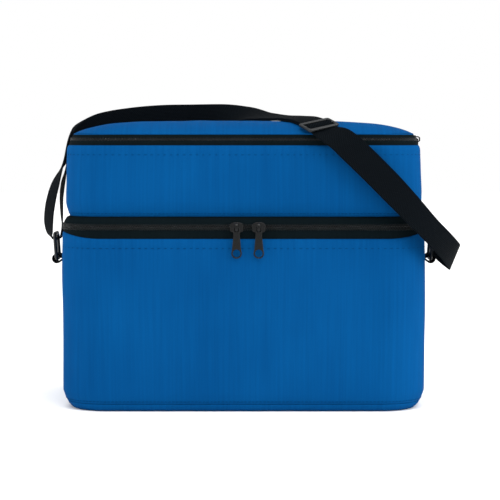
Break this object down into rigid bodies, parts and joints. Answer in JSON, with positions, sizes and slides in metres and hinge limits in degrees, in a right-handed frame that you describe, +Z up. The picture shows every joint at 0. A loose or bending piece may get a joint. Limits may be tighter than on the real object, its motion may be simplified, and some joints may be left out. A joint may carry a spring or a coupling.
{
  "type": "insulated cooler bag",
  "caption": "Soft two-compartment insulated cooler bag with zip-round upper box, zipped crowned lid, padded divider and webbing shoulder strap.",
  "frame": {"origin": "centre of the underside of the bag", "axes": "+X to the right seen from the front, -Y is the front with the zipper pulls, +Z up"},
  "size_m": [0.3928, 0.2136, 0.2803],
  "materials": {
    "shell_fabric": "woven polyester, slight sheen",
    "webbing": "ribbed polypropylene webbing, matt",
    "zip_tape": "woven tape, matt",
    "zip_coil": "nylon coil, satin",
    "hardware": "satin moulded plastic and lacquered metal",
    "foam": "closed-cell foam",
    "liner": "glossy aluminised film liner"
  },
  "bodies": {
    "lower": {"base_panel": "shell_fabric", "lower_shell": "shell_fabric", "lower_foam_wall": "foam", "lower_foam_base": "foam", "lower_liner": "liner", "main_zip_tape_lower": "zip_tape", "main_zip_coil_lower": "zip_coil", "main_hinge_strip": "shell_fabric", "side_tab_left": "webbing", "side_tab_right": "webbing", "strap_webbing": "webbing", "strap_return": "webbing", "strap_adjuster": "hardware"},
    "upper": {"upper_shell": "shell_fabric", "upper_foam_wall": "foam", "upper_liner": "liner", "divider_lining": "liner", "divider_foam": "foam", "main_zip_tape_upper": "zip_tape", "main_zip_coil_upper": "zip_coil", "lid_zip_tape_lower": "zip_tape", "lid_zip_coil_lower": "zip_coil", "lid_hinge_strip": "shell_fabric"},
    "lid": {"lid_shell": "shell_fabric", "lid_foam": "foam", "lid_liner": "liner", "lid_zip_tape_upper": "zip_tape", "lid_zip_coil_upper": "zip_coil"},
    "ring_left": {"strap_ring_left": "hardware"},
    "ring_right": {"strap_ring_right": "hardware"},
    "slider_left": {"main_slider_left": "hardware"},
    "slider_right": {"main_slider_right": "hardware"},
    "pull_left": {"main_pull_left": "hardware"},
    "pull_right": {"main_pull_right": "hardware"},
    "slider_lid": {"lid_slider": "hardware"},
    "pull_lid": {"lid_pull": "hardware"}
  },
  "joints": [
    {"name": "upper_compartment_hinge", "type": "hinge", "parent": "lower", "child": "upper", "pos_m": [0, 0.0995, 0.165], "axis": [-1, 0, 0], "range_deg": [0, 95], "deforming": ["main_hinge_strip", "strap_webbing", "strap_return", "strap_adjuster"]},
    {"name": "lid_hinge", "type": "hinge", "parent": "upper", "child": "lid", "pos_m": [0, 0.0966, 0.2429], "axis": [-1, 0, 0], "range_deg": [0, 110], "deforming": ["lid_hinge_strip", "strap_webbing", "strap_return", "strap_adjuster"]},
    {"name": "ring_left_swing", "type": "hinge", "parent": "lower", "child": "ring_left", "pos_m": [-0.1746, 0, 0.1316], "axis": [0, 1, 0], "range_deg": [-18, 12], "deforming": ["strap_webbing", "strap_return"]},
    {"name": "ring_right_swing", "type": "hinge", "parent": "lower", "child": "ring_right", "pos_m": [0.1746, 0, 0.1316], "axis": [0, 1, 0], "range_deg": [-12, 18], "deforming": ["strap_webbing"]},
    {"name": "slider_left_travel", "type": "slide", "parent": "lower", "child": "slider_left", "axis": [-1, 0, 0], "range_m": [0, 0.1]},
    {"name": "slider_right_travel", "type": "slide", "parent": "lower", "child": "slider_right", "axis": [1, 0, 0], "range_m": [0, 0.09]},
    {"name": "pull_left_lift", "type": "hinge", "parent": "slider_left", "child": "pull_left", "pos_m": [-0.0061, -0.1039, 0.1655], "axis": [-1, 0, 0], "range_deg": [0, 165]},
    {"name": "pull_right_lift", "type": "hinge", "parent": "slider_right", "child": "pull_right", "pos_m": [0.0136, -0.1039, 0.1655], "axis": [-1, 0, 0], "range_deg": [0, 165]},
    {"name": "slider_lid_travel", "type": "slide", "parent": "upper", "child": "slider_lid", "axis": [0, 1, 0], "range_m": [0, 0.078]},
    {"name": "pull_lid_lift", "type": "hinge", "parent": "slider_lid", "child": "pull_lid", "pos_m": [0.1591, -0.038, 0.2434], "axis": [0, -1, 0], "range_deg": [0, 165]}
  ]
}
